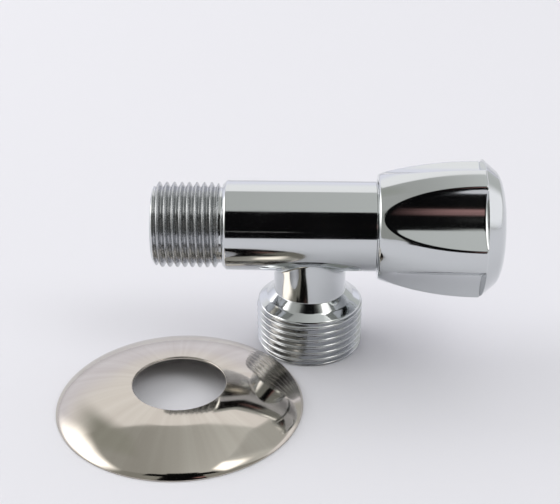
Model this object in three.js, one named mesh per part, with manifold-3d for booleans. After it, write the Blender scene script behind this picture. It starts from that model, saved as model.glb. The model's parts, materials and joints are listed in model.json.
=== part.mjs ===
// Angle stop valve: plated body, quarter-turn ceramic cartridge, fluted handle and the wall flange beside it.
// Millimetres, +Z up. The barrel runs along X and the outlet points down, so the valve stands on its outlet.
import * as THREE from "three";
import { mergeVertices } from "three/addons/utils/BufferGeometryUtils.js";
import Module from "manifold-3d";

const wasm = await Module();
wasm.setup();

// Segments round a full turn, and points on small arcs
const fineSegments = 48;
const mediumSegments = 32;
const coarseSegments = 24;
const threadSegments = 24;
const ringSectionPoints = 6;
const domeSteps = 8;
const lipSteps = 3;
const hexCorners = 6;
const spareTurns = 2; // turns of thread past each end, cut away later

// Clearances that all the pieces share
const gap = 0.3; // between pieces that touch or slide on the real valve
const overrun = 1; // how far a cutting shape runs past the face that it cuts

// Pipe thread, 14 turns to the inch: the shares are the axial places of root and crest in one pitch
const thread = { pitch: 1.814, depth: 1.16, crestCover: 0.2 };
const threadProfileShares = [
  [0, 0],
  [0.16, 0],
  [0.5, 1],
  [0.66, 1],
];

// Inlet: male thread on the left, its lengths measured from the outlet's axis
const inlet = {
  reach: 37.95,
  threadLength: 15.9,
  crestRadius: 10.35,
  chamferDepth: 1.25,
  chamferLength: 1.1,
  grooveLength: 1,
  grooveDepth: 1.2,
  boreRadius: 6.5,
};

// Barrel that holds the cartridge, and the seat between the inlet's bore and the chamber
const barrel = {
  seatOffset: 11,
  seatThickness: 2.5,
  seatWidth: 1.6,
  mouthReach: 18.2,
  wall: 1.89,
  leftChamfer: 0.9,
  mouthChamfer: 0.3,
};

// Outlet: neck, conical shoulder and male thread, pointing down
const outlet = {
  threadLength: 12.2,
  crestRadius: 13.05,
  chamferDepth: 0.9,
  chamferLength: 0.8,
  shoulderHeight: 3.3,
  shoulderOver: 0.05,
  neckLength: 5.95,
  neckRadius: 8.8,
  boreRadius: 6.4,
};
const shoulderShares = [
  [1, 0],
  [0.85, 0.076],
  [0.43, 0.424],
  [0, 1],
];

// Cartridge, from the seat towards the handle
const seal = { length: 3.1, proud: 0.8, wall: 1.5, lipDepth: 0.8, lipLength: 0.9 };
const supportRing = { wall: 0.7 };
const disc = { thickness: 3, innerOpening: 1.6, rimWidth: 1.5, notchWidth: 1.6, notchDepth: 0.7 };
const discOpeningAngle = 76;
const slot = { inner: 2.4, depth: 1.6 };
const flowLength = 6.2; // open length behind the moving disc, where the water turns down
const housing = {
  flowGap: 1.1,
  sleeveWall: 1,
  collarLength: 11,
  hexLength: 4,
  hexRoom: 0.4,
  noseLength: 3.4,
  noseWall: 1.7,
  slotDepth: 1.6,
  windowWidth: 9,
};
const washer = { thickness: 0.8, width: 1.7 };
const thrust = { thickness: 0.8 };
const spindle = {
  stemRadius: 4.7,
  headStep: 1.9,
  headLength: 3.6,
  prongInset: 1.4,
  prongWidth: 2,
  flatDepth: 0.9,
  clipGrooveDepth: 1.4,
  splineLead: 0.7,
  splineLength: 7.2,
  splineStep: 0.7,
  collarRise: 0.25,
  toothDepth: 0.45,
  holeRest: 1.3,
};
const splineTeeth = 20;
const oring = { sectionRadius: 0.65 };
const oringPlaceShares = [0.2, 0.45];
const stopRing = { thickness: 1, width: 1.7, tabWidth: 1, tabAngle: 24 };
const stopSlack = 2; // degrees left free at each end of the slot
const quarterTurn = 90;
const clip = { thickness: 0.8, width: 1.6, openingAngle: 50 };

// Handle: flutes parallel to the axis, cut by a cylinder, on a body that swells towards the front
const handle = {
  skirtOverlap: 2.05,
  skirtGap: 0.45,
  fluteWall: 1.66,
  fluteDepth: 3.96,
  fluteRadius: 13.5,
  lipWall: 1.29,
  lipRound: 0.7,
  rimDrop: 0.5,
  rimRound: 0.3,
  bossWall: 1.7,
  frontWall: 3,
  webThickness: 2,
  frontLength: 4.65,
  frontFlatRadius: 10.3,
  screwRoom: 2.4,
};
const fluteCount = 5;
const fluteStart = 145.5; // degrees from +Y towards +Z to the middle of the flute that faces front and up
const flutePoints = 8; // columns across one flute
const landPoints = 4; // columns across the land between two flutes
const tipAngle = 2.5; // degrees to each side that the columns keep where no flute is cut
const landStationShares = [0.08, 0.15, 0.24, 0.36, 0.5, 0.66, 0.83, 1];
const frontShares = [
  [0, 0],
  [0.47, 0.31],
  [0.67, 0.435],
  [0.84, 0.64],
  [0.945, 0.815],
  [1, 1],
];
const bush = { wall: 1.6 };
const springWasher = { thickness: 0.9, openingAngle: 14 };
const screw = { shankRadius: 1.85, headRadius: 3.6, headLength: 2.4, length: 9.5 };
const cross = { width: 1, depth: 1.4, length: 4.2 };
const screwTipShare = 0.5; // radius of the tip, of the shank
const screwCrownShare = 0.7; // radius of the flat top, of the head
const cap = { thickness: 1.95, rimLength: 1.1, rimWidth: 0.9, frontRound: 0.4 };

// Wall flange: a thin dome with a hole for the inlet, lying just clear of the outlet's foot
const flange = {
  radius: 28.93,
  holeRadius: 10.83,
  height: 7,
  wall: 0.7,
  flatRadius: 16.4,
  flatDrop: 0.29,
  flatBend: 0.245,
  clearance: 0.75,
};
const flangeDirection = 224.18; // degrees from +X towards +Y, seen from the outlet's axis
const domeShare = 1.25; // power of the dome's rise, from the steep rim to the nearly flat middle

// Radii that follow from the ones above, from the stem outwards
const neckBore = spindle.stemRadius + gap;
const noseRadius = neckBore + housing.noseWall;
const discRadius = spindle.stemRadius + spindle.headStep;
const openingRadius = discRadius - disc.rimWidth;
const sealBore = discRadius - seal.wall;
const sleeveBore = discRadius + gap;
const sleeveRadius = sleeveBore + housing.sleeveWall;
const chamberRadius = sleeveRadius + housing.flowGap;
const collarRadius = chamberRadius - gap;
const barrelRadius = chamberRadius + barrel.wall;
const skirtBore = barrelRadius + handle.skirtGap;
const hexRadius = skirtBore - housing.hexRoom;
const floorRadius = skirtBore + handle.fluteWall;
const rimRadius = floorRadius + handle.fluteDepth;
const leftRadius = skirtBore + handle.lipWall;
const splineRadius = spindle.stemRadius - spindle.splineStep;
const oringFloor = spindle.stemRadius - 2 * oring.sectionRadius;
const holeRadius = screw.shankRadius + gap;
const bushRadius = splineRadius + gap + bush.wall;
const pocketRadius = bushRadius + gap;
const recessRadius = screw.headRadius + handle.screwRoom;
const axisHeight = outlet.threadLength + outlet.shoulderHeight + outlet.neckLength + barrelRadius;

// Places along X, each reckoned from the piece before it
const inletX = -inlet.reach;
const barrelLeftX = inletX + inlet.threadLength + inlet.grooveLength;
const seatX = -barrel.seatOffset;
const sealX = seatX + gap;
const sleeveX = seatX + seal.proud;
const fixedDiscX = sealX + seal.length + gap;
const movingDiscX = fixedDiscX + disc.thickness + gap;
const windowX = movingDiscX + disc.thickness;
const headX = windowX + flowLength;
const thrustX = headX + spindle.headLength + gap;
const innerShoulderX = thrustX + thrust.thickness + gap;
const mouthX = barrel.mouthReach;
const washerX = mouthX + gap;
const hexX = washerX + washer.thickness + gap;
const hexEndX = hexX + housing.hexLength;
const noseX = hexEndX + housing.noseLength;
const stopRingX = noseX + gap;
const clipX = stopRingX + stopRing.thickness + gap;
const splineX = clipX + clip.thickness + spindle.splineLead;
const spindleEndX = splineX + spindle.splineLength;
const webX = spindleEndX + gap;
const webEndX = webX + handle.webThickness;
const springWasherX = webEndX + gap;
const screwHeadX = springWasherX + springWasher.thickness + gap;
const capX = screwHeadX + screw.headLength + gap;
const frontX = capX + cap.thickness;
const handleX = mouthX - handle.skirtOverlap;
const rimX = frontX - handle.frontLength;
const oringX = oringPlaceShares.map((share) => innerShoulderX + share * (noseX - innerShoulderX));
const screwHoleX = screwHeadX - screw.length - spindle.holeRest;

// Helpers
const radians = THREE.MathUtils.degToRad;

// A closed mesh as a solid, its shared vertices merged and its empty triangles left out.
function solidOf(geometry) {
  const bare = new THREE.BufferGeometry().setAttribute("position", geometry.getAttribute("position"));
  if (geometry.index) bare.setIndex(geometry.index);
  const merged = mergeVertices(bare);
  const corners = merged.index.array;
  const kept = [];
  for (let i = 0; i < corners.length; i += 3) {
    const [a, b, c] = corners.slice(i, i + 3);
    if (a !== b && b !== c && c !== a) kept.push(a, b, c);
  }
  const vertProperties = merged.getAttribute("position").array;
  return new wasm.Manifold(new wasm.Mesh({ numProp: 3, vertProperties, triVerts: new Uint32Array(kept) }));
}

function geometryOf(solid) {
  const { vertProperties, triVerts } = solid.getMesh();
  const geometry = new THREE.BufferGeometry();
  geometry.setAttribute("position", new THREE.BufferAttribute(vertProperties, 3));
  geometry.setIndex(new THREE.BufferAttribute(triVerts, 1));
  const flat = geometry.toNonIndexed();
  flat.computeVertexNormals();
  return flat;
}

function joined(first, ...others) {
  return others.reduce((sum, next) => sum.add(next), first);
}

// A solid of revolution: the outline lists [along, radius] with the solid on its left side.
function turned(outline, segments, axis = "x") {
  const points = outline.map(([along, radius]) => new THREE.Vector2(radius, along));
  const geometry = new THREE.LatheGeometry(points, segments);
  const columns = geometry.getAttribute("position").array;
  const columnLength = columns.length / (segments + 1);
  columns.copyWithin(segments * columnLength, 0, columnLength); // the last column is the first one again
  if (axis === "x") geometry.rotateZ(-Math.PI / 2);
  else geometry.rotateX(Math.PI / 2);
  return solidOf(geometry);
}

function rod(start, end, radius, segments, axis) {
  return turned([[start, 0], [start, radius], [end, radius], [end, 0]], segments, axis);
}

function tube(start, end, bore, radius, segments, axis) {
  const outline = [[start, bore], [start, radius], [end, radius], [end, bore], [start, bore]];
  return turned(outline, segments, axis);
}

// An outline in the YZ plane carried along X.
function prism(shape, start, end) {
  const geometry = new THREE.ExtrudeGeometry(shape, { depth: end - start, bevelEnabled: false });
  const toX = new THREE.Matrix4().makeBasis(
    new THREE.Vector3(0, 1, 0),
    new THREE.Vector3(0, 0, 1),
    new THREE.Vector3(1, 0, 0),
  );
  return solidOf(geometry.applyMatrix4(toX).translate(start, 0, 0));
}

const ordered = (a, b) => (a < b ? [a, b] : [b, a]);

// A box from its lowest to its highest corner.
function block(low, high) {
  const size = high.map((value, i) => value - low[i]);
  const middle = high.map((value, i) => (value + low[i]) / 2);
  return solidOf(new THREE.BoxGeometry(...size).translate(...middle));
}

// Points of an arc from one angle to another, in degrees from +Y towards +Z.
function arcPoints(radius, from, to, steps) {
  return Array.from({ length: steps + 1 }, (_, i) => {
    const angle = radians(from + ((to - from) * i) / steps);
    return new THREE.Vector2(radius * Math.cos(angle), radius * Math.sin(angle));
  });
}

function circle(radius, segments) {
  return new THREE.Shape(arcPoints(radius, 0, 4 * quarterTurn, segments).slice(1));
}

// Part of a ring between two radii and two angles.
function sector(inner, outer, from, to, steps) {
  return new THREE.Shape([...arcPoints(outer, from, to, steps), ...arcPoints(inner, to, from, steps)]);
}

// A circle with two flats, cut at the same distance from the middle on both sides.
function doubleFlat(radius, flatDistance, steps) {
  const half = THREE.MathUtils.radToDeg(Math.asin(flatDistance / radius));
  const middles = [0, 2 * quarterTurn];
  return new THREE.Shape(middles.flatMap((middle) => arcPoints(radius, middle - half, middle + half, steps)));
}

// A spline outline: each tooth has a flat top and a flat foot of a quarter of the tooth's angle.
function splineOutline(radius, depth) {
  const points = [];
  for (let i = 0; i < splineTeeth; i++) {
    const start = (2 * Math.PI * i) / splineTeeth;
    const step = Math.PI / (2 * splineTeeth);
    [radius, radius, radius - depth, radius - depth].forEach((r, k) => {
      points.push(new THREE.Vector2(r * Math.cos(start + k * step), r * Math.sin(start + k * step)));
    });
  }
  return new THREE.Shape(points);
}

// A threaded rod along +X, right-handed and longer than asked at both ends: every row of vertices follows the
// helix, so the last column joins the first one row of profile points further on.
function threadedRod(crestRadius, length) {
  const perTurn = threadProfileShares.length;
  const turns = Math.ceil(length / thread.pitch) + 2 * spareTurns;
  const rows = turns * perTurn;
  const firstX = -spareTurns * thread.pitch;
  const positions = [];
  const indexOf = (column, row) => {
    const wraps = column === threadSegments;
    return wraps ? row + perTurn : column === 0 ? row : perTurn + column * rows + row;
  };
  for (let column = 0; column < threadSegments; column++) {
    const angle = (2 * Math.PI * column) / threadSegments;
    const rowsHere = column === 0 ? rows + perTurn : rows;
    for (let row = 0; row < rowsHere; row++) {
      const [along, rise] = threadProfileShares[row % perTurn];
      const turn = Math.floor(row / perTurn) + along + column / threadSegments;
      const radius = crestRadius - thread.depth * (1 - rise);
      positions.push(firstX + turn * thread.pitch, radius * Math.cos(angle), radius * Math.sin(angle));
    }
  }
  const triangles = [];
  for (let column = 0; column < threadSegments; column++) {
    for (let row = 0; row < rows - 1; row++) {
      const [a, b] = [indexOf(column, row), indexOf(column + 1, row)];
      const [c, d] = [indexOf(column, row + 1), indexOf(column + 1, row + 1)];
      triangles.push(a, b, c, b, d, c);
    }
  }
  const loops = [0, rows - 1].map((row) => {
    const loop = [];
    for (let column = 0; column < threadSegments; column++) loop.push(indexOf(column, row));
    for (let step = perTurn; step > 0; step--) loop.push(row + step);
    return loop;
  });
  const endX = [firstX - thread.pitch, firstX + (turns + spareTurns) * thread.pitch];
  loops.forEach((loop, end) => {
    const middle = positions.length / 3;
    positions.push(endX[end], 0, 0);
    loop.forEach((corner, i) => {
      const next = loop[(i + 1) % loop.length];
      triangles.push(middle, ...(end ? [corner, next] : [next, corner]));
    });
  });
  const geometry = new THREE.BufferGeometry();
  geometry.setAttribute("position", new THREE.Float32BufferAttribute(positions, 3));
  geometry.setIndex(triangles);
  return solidOf(geometry);
}

// A thread from x = 0 with a chamfered start: the rod above, cut to a cylinder with a chamfer at both ends.
function maleThread({ crestRadius, chamferDepth, chamferLength, threadLength }) {
  const cover = crestRadius + thread.crestCover;
  const slope = chamferLength / chamferDepth;
  const envelope = [
    [0, 0],
    [0, crestRadius - chamferDepth],
    [chamferLength + thread.crestCover * slope, cover],
    [threadLength, cover],
    [threadLength + thread.depth, crestRadius - 2 * thread.depth],
    [threadLength + thread.depth, 0],
  ];
  return threadedRod(crestRadius, threadLength).intersect(turned(envelope, threadSegments));
}

function piece(name, solid, look, x = 0) {
  const mesh = new THREE.Mesh(geometryOf(solid), new THREE.MeshStandardMaterial(look));
  mesh.name = name;
  mesh.position.x = x;
  return mesh;
}

// Looks
const chrome = { color: 0xd9dcdf, roughness: 0.08, metalness: 1 };
const stainless = { color: 0xcfcac2, roughness: 0.12, metalness: 1 };
const brass = { color: 0xc9a45c, roughness: 0.35, metalness: 1 };
const steel = { color: 0xb4b6b8, roughness: 0.3, metalness: 1 };
const ceramic = { color: 0xf1efe9, roughness: 0.25, metalness: 0 };
const rubber = { color: 0x1d1d1e, roughness: 0.8, metalness: 0 };
const plastic = { color: 0xe6e6e2, roughness: 0.45, metalness: 0 };

function valveBody() {
  const { leftChamfer, mouthChamfer } = barrel;
  const barrelRod = turned(
    [
      [barrelLeftX, 0],
      [barrelLeftX, barrelRadius - leftChamfer],
      [barrelLeftX + leftChamfer, barrelRadius],
      [mouthX - mouthChamfer, barrelRadius],
      [mouthX, barrelRadius - mouthChamfer],
      [mouthX, 0],
    ],
    fineSegments,
  );
  const grooveRadius = inlet.crestRadius - inlet.grooveDepth;
  const grooveX = barrelLeftX - inlet.grooveLength;
  const groove = rod(grooveX - overrun, barrelLeftX + overrun, grooveRadius, mediumSegments);
  const inletThread = maleThread(inlet).translate(inletX, 0, 0);

  const threadTop = outlet.threadLength - axisHeight;
  const swell = outlet.crestRadius + outlet.shoulderOver - outlet.neckRadius;
  const neck = turned(
    [
      [threadTop - overrun, 0],
      [threadTop - overrun, outlet.neckRadius],
      [threadTop, outlet.neckRadius],
      ...shoulderShares.map(([out, up]) => [
        threadTop + up * outlet.shoulderHeight,
        outlet.neckRadius + out * swell,
      ]),
      [0, outlet.neckRadius],
      [0, 0],
    ],
    fineSegments,
    "z",
  );
  const outletThread = maleThread(outlet).rotate([0, -quarterTurn, 0]).translate(0, 0, -axisHeight);

  const cavity = turned(
    [
      [inletX - overrun, 0],
      [inletX - overrun, inlet.boreRadius],
      [seatX - barrel.seatThickness, inlet.boreRadius],
      [seatX - barrel.seatThickness, discRadius - barrel.seatWidth],
      [seatX, discRadius - barrel.seatWidth],
      [seatX, chamberRadius],
      [mouthX + overrun, chamberRadius],
      [mouthX + overrun, 0],
    ],
    mediumSegments,
  );
  const outletBore = rod(-axisHeight - overrun, 0, outlet.boreRadius, mediumSegments, "z");
  const metal = joined(barrelRod, groove, inletThread, neck, outletThread);
  return piece("valve_body", metal.subtract(cavity).subtract(outletBore), chrome);
}

function seatSeal() {
  const lipRadius = sealBore - seal.lipDepth;
  const outline = [
    [0, lipRadius],
    [0, discRadius],
    [seal.length, discRadius],
    [seal.length, sealBore],
    [seal.lipLength, sealBore],
    [seal.lipLength, lipRadius],
    [0, lipRadius],
  ];
  return piece("seat_seal", turned(outline, coarseSegments), rubber, sealX);
}

function sealSupportRing() {
  const outer = sealBore - gap;
  const ring = tube(seal.lipLength + gap, seal.length, outer - supportRing.wall, outer, coarseSegments);
  return piece("seal_support_ring", ring, plastic, sealX);
}

// A ceramic disc with two opposite openings, their middles at the given angle.
function portedDisc(middle) {
  const half = discOpeningAngle / 2;
  const openings = [middle, middle + 2 * quarterTurn].map((angle) => {
    const shape = sector(disc.innerOpening, openingRadius, angle - half, angle + half, coarseSegments);
    return prism(shape, -overrun, disc.thickness + overrun);
  });
  const whole = prism(circle(discRadius, coarseSegments), 0, disc.thickness);
  return openings.reduce((body, opening) => body.subtract(opening), whole);
}

function fixedDisc() {
  const half = disc.notchWidth / 2;
  const reach = discRadius - disc.notchDepth;
  const notches = [-discRadius - overrun, reach].map((y) =>
    block([-overrun, y, -half], [disc.thickness + overrun, y + disc.notchDepth + overrun, half]),
  );
  const solid = notches.reduce((body, notch) => body.subtract(notch), portedDisc(quarterTurn));
  return piece("fixed_disc", solid, ceramic, fixedDiscX);
}

function movingDisc() {
  const slotStart = disc.thickness - slot.depth;
  const half = spindle.prongWidth / 2 + gap;
  const slots = [-1, 1].map((side) => {
    const [low, high] = ordered(side * slot.inner, side * (discRadius + overrun));
    return block([slotStart, -half, low], [disc.thickness + overrun, half, high]);
  });
  const solid = slots.reduce((body, cut) => body.subtract(cut), portedDisc(0));
  return piece("moving_disc", solid, ceramic, movingDiscX);
}

function cartridgeHousing() {
  const collarX = hexX - housing.collarLength;
  const bonnet = turned(
    [
      [sleeveX, sleeveBore],
      [sleeveX, sleeveRadius],
      [collarX, sleeveRadius],
      [collarX, collarRadius],
      [hexX + overrun, collarRadius],
      [hexX + overrun, noseRadius],
      [noseX, noseRadius],
      [noseX, neckBore],
      [innerShoulderX, neckBore],
      [innerShoulderX, sleeveBore],
      [sleeveX, sleeveBore],
    ],
    mediumSegments,
  );
  const hexagon = new THREE.Shape();
  for (let i = 0; i < hexCorners; i++) {
    const angle = (2 * Math.PI * i) / hexCorners;
    hexagon[i ? "lineTo" : "moveTo"](hexRadius * Math.cos(angle), hexRadius * Math.sin(angle));
  }
  hexagon.holes.push(circle((neckBore + noseRadius) / 2, mediumSegments));
  const hex = prism(hexagon, hexX, hexEndX);
  const half = housing.windowWidth / 2;
  const windows = block([windowX, -half, -sleeveRadius - overrun], [headX, half, sleeveRadius + overrun]);
  const keys = [-1, 1].map((side) => {
    const inner = discRadius - disc.notchDepth + gap;
    const halfKey = disc.notchWidth / 2 - gap;
    const [low, high] = ordered(side * inner, side * (sleeveBore + gap));
    return block([fixedDiscX, low, -halfKey], [fixedDiscX + disc.thickness, high, halfKey]);
  });
  const reach = stopRing.tabAngle / 2 + stopSlack;
  const [inner, outer] = [neckBore - overrun, noseRadius + overrun];
  const slotShape = sector(inner, outer, -reach, quarterTurn + reach, coarseSegments);
  const stopSlot = prism(slotShape, noseX - housing.slotDepth, noseX + overrun);
  const solid = joined(bonnet, hex, ...keys).subtract(windows).subtract(stopSlot);
  return piece("cartridge_housing", solid, brass);
}

function collarWasher() {
  const ring = tube(0, washer.thickness, chamberRadius, chamberRadius + washer.width, mediumSegments);
  return piece("collar_washer", ring, rubber, washerX);
}

function spindleShaft() {
  const { stemRadius, clipGrooveDepth } = spindle;
  const halfGroove = oring.sectionRadius + gap;
  const grooves = oringX.flatMap((x) => [
    [x - halfGroove, stemRadius],
    [x - halfGroove, oringFloor],
    [x + halfGroove, oringFloor],
    [x + halfGroove, stemRadius],
  ]);
  const shaft = turned(
    [
      [headX, 0],
      [headX, discRadius],
      [headX + spindle.headLength, discRadius],
      [headX + spindle.headLength, stemRadius],
      ...grooves,
      [clipX - gap / 2, stemRadius],
      [clipX - gap / 2, stemRadius - clipGrooveDepth],
      [clipX + clip.thickness + gap / 2, stemRadius - clipGrooveDepth],
      [clipX + clip.thickness + gap / 2, splineRadius + spindle.collarRise],
      [splineX, splineRadius + spindle.collarRise],
      [splineX, 0],
    ],
    mediumSegments,
  );
  const spline = prism(
    splineOutline(splineRadius, spindle.toothDepth),
    splineX - spindle.splineLead,
    spindleEndX,
  );
  const prongs = [-1, 1].map((side) => {
    const half = spindle.prongWidth / 2;
    const [low, high] = ordered(side * (slot.inner + gap), side * (discRadius - spindle.prongInset));
    return block([windowX - slot.depth + gap, -half, low], [headX + overrun, half, high]);
  });
  const hole = rod(screwHoleX, spindleEndX + overrun, holeRadius, coarseSegments);
  const flatY = stemRadius - spindle.flatDepth;
  const flats = [-1, 1].map((side) => {
    const [low, high] = ordered(side * flatY, side * (stemRadius + overrun));
    return block([noseX, -stemRadius - overrun, low], [clipX - gap / 2, stemRadius + overrun, high]);
  });
  const solid = flats.reduce((body, flat) => body.subtract(flat), joined(shaft, spline, ...prongs));
  return piece("spindle", solid.subtract(hole), brass);
}

function thrustWasher() {
  const ring = tube(0, thrust.thickness, neckBore, discRadius, coarseSegments);
  return piece("thrust_washer", ring, plastic, thrustX);
}

function sealingRing(name, x) {
  const middleRadius = oringFloor + gap / 2 + oring.sectionRadius;
  const outline = [];
  for (let i = 0; i <= ringSectionPoints; i++) {
    const angle = (2 * Math.PI * (i % ringSectionPoints)) / ringSectionPoints;
    const [along, out] = [Math.sin(angle), Math.cos(angle)].map((value) => oring.sectionRadius * value);
    outline.push([along, middleRadius + out]);
  }
  return piece(name, turned(outline, coarseSegments), rubber, x);
}

function stopRingPiece() {
  const { thickness, width, tabWidth, tabAngle } = stopRing;
  const outer = spindle.stemRadius + gap + width;
  const shape = circle(outer, mediumSegments);
  const flatDistance = spindle.stemRadius - spindle.flatDepth + gap;
  shape.holes.push(doubleFlat(spindle.stemRadius + gap, flatDistance, mediumSegments));
  const ring = prism(shape, 0, thickness);
  const tabShape = sector(outer - tabWidth, outer, -tabAngle / 2, tabAngle / 2, ringSectionPoints);
  const tab = prism(tabShape, -housing.slotDepth, thickness / 2);
  return piece("stop_ring", ring.add(tab), brass, stopRingX);
}

function circlip() {
  const inner = spindle.stemRadius - spindle.clipGrooveDepth + gap;
  const half = clip.openingAngle / 2;
  const shape = sector(inner, inner + clip.width, half, 4 * quarterTurn - half, fineSegments);
  return piece("circlip", prism(shape, 0, clip.thickness), steel, clipX);
}

function splineBush() {
  const shape = circle(bushRadius, mediumSegments);
  shape.holes.push(splineOutline(splineRadius + gap, spindle.toothDepth));
  const start = splineX + gap;
  return piece("spline_bush", prism(shape, 0, spindleEndX - start), plastic, start);
}

// Radius of the flute's surface at an angle from its middle, and half the angle that it takes at a radius.
const cutterReach = floorRadius + handle.fluteRadius;
const fluteSurface = (angle) =>
  cutterReach * Math.cos(angle) - Math.sqrt(handle.fluteRadius ** 2 - (cutterReach * Math.sin(angle)) ** 2);
const fluteHalfAngle = (radius) =>
  Math.acos((radius ** 2 + cutterReach ** 2 - handle.fluteRadius ** 2) / (2 * radius * cutterReach));

// One ring of the handle's outside: columns crowd into the five flutes, the rest lie on the land.
function handleRing(x, radius, half, fluted = false) {
  const pitch = (2 * Math.PI) / fluteCount;
  const ring = [];
  for (let k = 0; k < fluteCount; k++) {
    const middle = radians(fluteStart) + k * pitch;
    for (let i = 0; i < flutePoints + landPoints; i++) {
      const inFlute = i < flutePoints;
      const offset = inFlute
        ? half * ((2 * i) / flutePoints - 1)
        : half + ((pitch - 2 * half) * (i - flutePoints)) / landPoints;
      const sunk = fluted && inFlute && i > 0;
      const r = sunk ? Math.min(radius, fluteSurface(offset)) : radius;
      ring.push(new THREE.Vector3(x, r * Math.cos(middle + offset), r * Math.sin(middle + offset)));
    }
  }
  return ring;
}

// A closed mesh through rings of equal length along +X, with a flat end on both sides.
function throughRings(rings) {
  const count = rings[0].length;
  const ends = [rings[0], rings.at(-1)].map((ring) => new THREE.Vector3(ring[0].x, 0, 0));
  const points = [...rings.flat(), ...ends];
  const triangles = [];
  const [leftMiddle, rightMiddle] = [points.length - 2, points.length - 1];
  for (let j = 0; j < count; j++) {
    const next = (j + 1) % count;
    const last = (rings.length - 1) * count;
    triangles.push(leftMiddle, next, j, rightMiddle, last + j, last + next);
    for (let i = 0; i < rings.length - 1; i++) {
      const [a, b] = [i * count + j, i * count + next];
      triangles.push(a, b, a + count, b, b + count, a + count);
    }
  }
  const geometry = new THREE.BufferGeometry().setFromPoints(points);
  geometry.setIndex(triangles);
  return solidOf(geometry);
}

function handlePiece() {
  const landRadius = (share) => leftRadius + (rimRadius - leftRadius) * (1 - (1 - share) ** 2);
  const landLength = rimX - handle.rimRound - handleX;
  const landX = (share) => handleX + landLength * share;
  const lipShare = handle.lipRound / landLength;
  const rings = [];
  for (let i = 0; i <= lipSteps; i++) {
    const angle = ((Math.PI / 2) * i) / lipSteps;
    const share = lipShare * (1 - Math.cos(angle));
    const radius = landRadius(share) - handle.lipRound * (1 - Math.sin(angle));
    rings.push(handleRing(landX(share), radius, radians(tipAngle)));
  }
  landStationShares.forEach((share) => {
    const radius = landRadius(share);
    const half = radius > floorRadius ? fluteHalfAngle(radius) : 0;
    rings.push(handleRing(landX(share), radius, Math.max(half, radians(tipAngle)), half > 0));
  });
  const frontRadius = rimRadius - handle.rimDrop;
  const frontHalf = fluteHalfAngle(frontRadius);
  rings.push(handleRing(rimX, frontRadius, frontHalf, true));
  frontShares.forEach(([along, inward]) => {
    const radius = frontRadius - inward * (frontRadius - handle.frontFlatRadius);
    rings.push(handleRing(rimX + along * handle.frontLength, radius, frontHalf));
  });
  const cavityEndX = frontX - handle.frontWall;
  const bossRadius = recessRadius + handle.bossWall;
  const cavity = turned(
    [
      [handleX - overrun, 0],
      [handleX - overrun, skirtBore],
      [cavityEndX, skirtBore],
      [cavityEndX, bossRadius],
      [splineX, bossRadius],
      [splineX, pocketRadius],
      [webX, pocketRadius],
      [webX, holeRadius],
      [webEndX, holeRadius],
      [webEndX, recessRadius],
      [frontX + overrun, recessRadius],
      [frontX + overrun, 0],
    ],
    mediumSegments,
  );
  return piece("handle", throughRings(rings).subtract(cavity), chrome);
}

function springWasherPiece() {
  const half = springWasher.openingAngle / 2;
  const shape = sector(holeRadius, screw.headRadius, half, 4 * quarterTurn - half, fineSegments);
  const ring = prism(shape, 0, springWasher.thickness);
  return piece("spring_washer", ring, steel, springWasherX);
}

function handleScrew() {
  const { shankRadius, headRadius, headLength, length } = screw;
  const tipRadius = shankRadius * screwTipShare;
  const outline = [
    [-length, 0],
    [-length, tipRadius],
    [-length + shankRadius - tipRadius, shankRadius],
    [0, shankRadius],
    [0, headRadius],
    [headLength / 2, headRadius],
    [headLength, headRadius * screwCrownShare],
    [headLength, 0],
  ];
  const [half, reach] = [cross.width / 2, cross.length / 2];
  const floor = headLength - cross.depth;
  const top = headLength + overrun;
  const solid = turned(outline, coarseSegments)
    .subtract(block([floor, -half, -reach], [top, half, reach]))
    .subtract(block([floor, -reach, -half], [top, reach, half]));
  return piece("handle_screw", solid, steel, screwHeadX);
}

function indexCap() {
  const radius = recessRadius - gap;
  const outline = [
    [0, radius - cap.rimWidth],
    [0, radius],
    [cap.thickness - cap.frontRound, radius],
    [cap.thickness, radius - cap.frontRound],
    [cap.thickness, 0],
    [cap.rimLength, 0],
    [cap.rimLength, radius - cap.rimWidth],
    [0, radius - cap.rimWidth],
  ];
  return piece("index_cap", turned(outline, mediumSegments), chrome, capX);
}

// The dome rises as the sine of the angle to a power while its radius falls as the cosine. Near the hole it is
// flattened: the drop grows first as a square and then more evenly.
function escutcheon() {
  const domeArc = (radius, height) => {
    const last = Math.acos(flange.holeRadius / radius);
    return Array.from({ length: domeSteps + 1 }, (_, i) => {
      const angle = (last * i) / domeSteps;
      const out = radius * Math.cos(angle);
      const nearHole = Math.max(0, (flange.flatRadius - out) / (flange.flatRadius - flange.holeRadius));
      const drop = (flange.flatDrop + flange.flatBend * (1 - nearHole)) * nearHole ** 2;
      return [height * Math.sin(angle) ** domeShare - drop, out];
    });
  };
  const outside = domeArc(flange.radius, flange.height);
  const inside = domeArc(flange.radius - flange.wall, flange.height - flange.wall).reverse();
  const solid = turned([...outside, ...inside, outside[0]], fineSegments, "z");
  const mesh = piece("escutcheon", solid, stainless);
  const away = flange.radius + flange.clearance + outlet.crestRadius - outlet.chamferDepth;
  const direction = radians(flangeDirection);
  mesh.position.set(away * Math.cos(direction), away * Math.sin(direction), 0);
  return mesh;
}

// The fixed pieces and the ones that turn with the handle share the barrel's axis
const stem = new THREE.Group();
stem.add(
  movingDisc(),
  spindleShaft(),
  sealingRing("spindle_oring_inner", oringX[0]),
  sealingRing("spindle_oring_outer", oringX[1]),
  thrustWasher(),
  stopRingPiece(),
  circlip(),
  splineBush(),
  handlePiece(),
  springWasherPiece(),
  handleScrew(),
  indexCap(),
);
const valve = new THREE.Group();
valve.add(valveBody(), seatSeal(), sealSupportRing(), fixedDisc(), cartridgeHousing(), collarWasher(), stem);
valve.position.z = axisHeight;

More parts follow.
